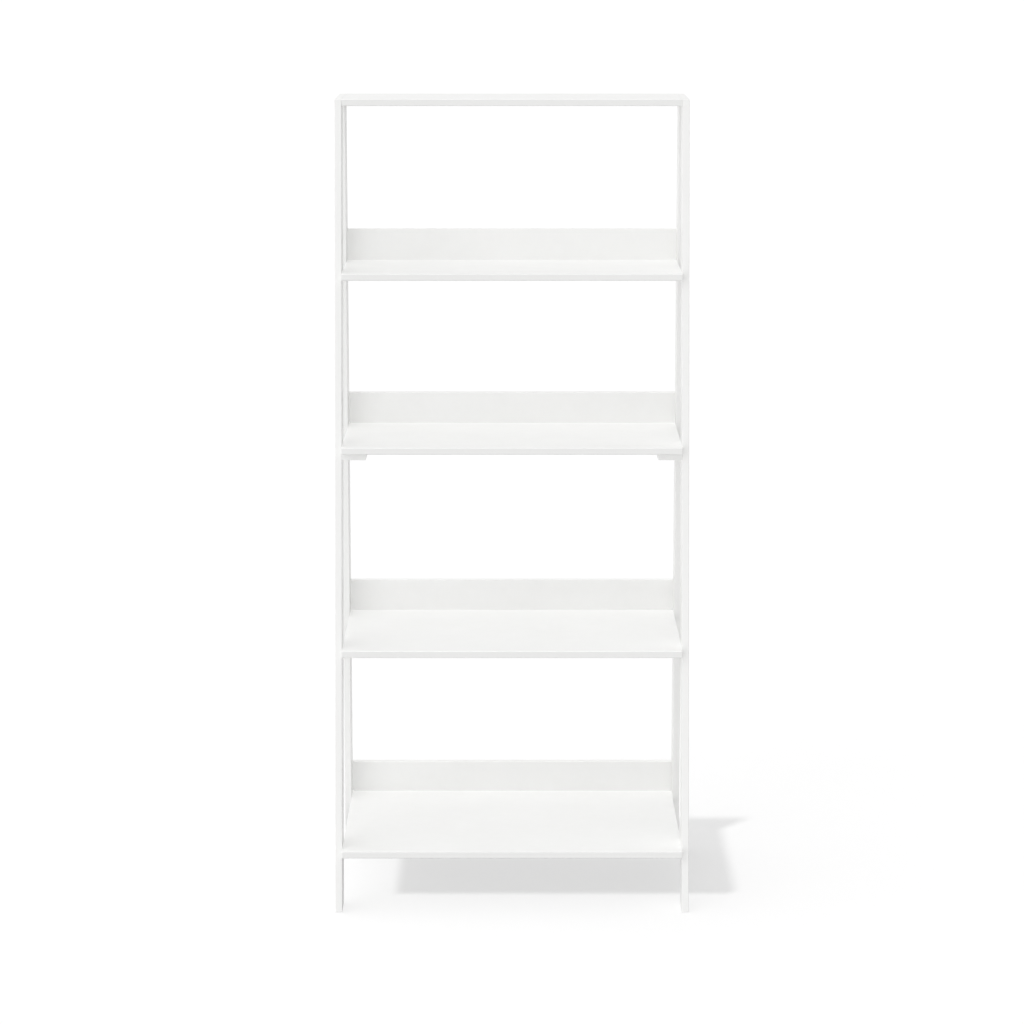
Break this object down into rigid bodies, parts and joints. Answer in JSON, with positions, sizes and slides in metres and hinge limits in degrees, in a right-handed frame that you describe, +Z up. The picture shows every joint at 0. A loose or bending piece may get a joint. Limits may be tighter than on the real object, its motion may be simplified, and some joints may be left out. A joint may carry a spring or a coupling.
{
  "type": "ladder shelf",
  "caption": "Free-standing ladder bookshelf in white painted board: leaning front legs, upright rear posts, a narrow top and open shelves with back lips, deeper towards the floor.",
  "frame": {"origin": "on the floor, under the middle of the shelf's bounding box", "axes": "+Z up, the open front faces -Y, +X to the viewer's right from the front"},
  "size_m": [0.616, 0.406, 1.397],
  "materials": {
    "frame_paint": "satin white paint on medium-density fibreboard",
    "shelf_paint": "satin white paint on medium-density fibreboard",
    "lip_paint": "satin white paint on medium-density fibreboard",
    "steel": "zinc-plated steel",
    "cam_zinc": "die-cast zinc, dull",
    "beech": "bare beech",
    "nylon": "white nylon"
  },
  "bodies": {
    "root": {"batten_screws": "steel", "batten_side_screws": "steel", "bottom_back_lip": "lip_paint", "bottom_shelf": "shelf_paint", "cam_bolts": "steel", "cam_locks": "cam_zinc", "foot_glides": "nylon", "left_batten": "frame_paint", "left_front_leg": "frame_paint", "left_rear_upright": "frame_paint", "left_top_rail": "frame_paint", "lip_dowels": "beech", "lip_screws": "steel", "lower_back_lip": "lip_paint", "lower_shelf": "shelf_paint", "middle_back_lip": "lip_paint", "middle_shelf": "shelf_paint", "right_batten": "frame_paint", "right_front_leg": "frame_paint", "right_rear_upright": "frame_paint", "right_top_rail": "frame_paint", "shelf_dowels": "beech", "top_board": "shelf_paint", "top_rail_dowels": "beech", "upper_back_lip": "lip_paint", "upper_shelf": "shelf_paint"}
  },
  "joints": []
}
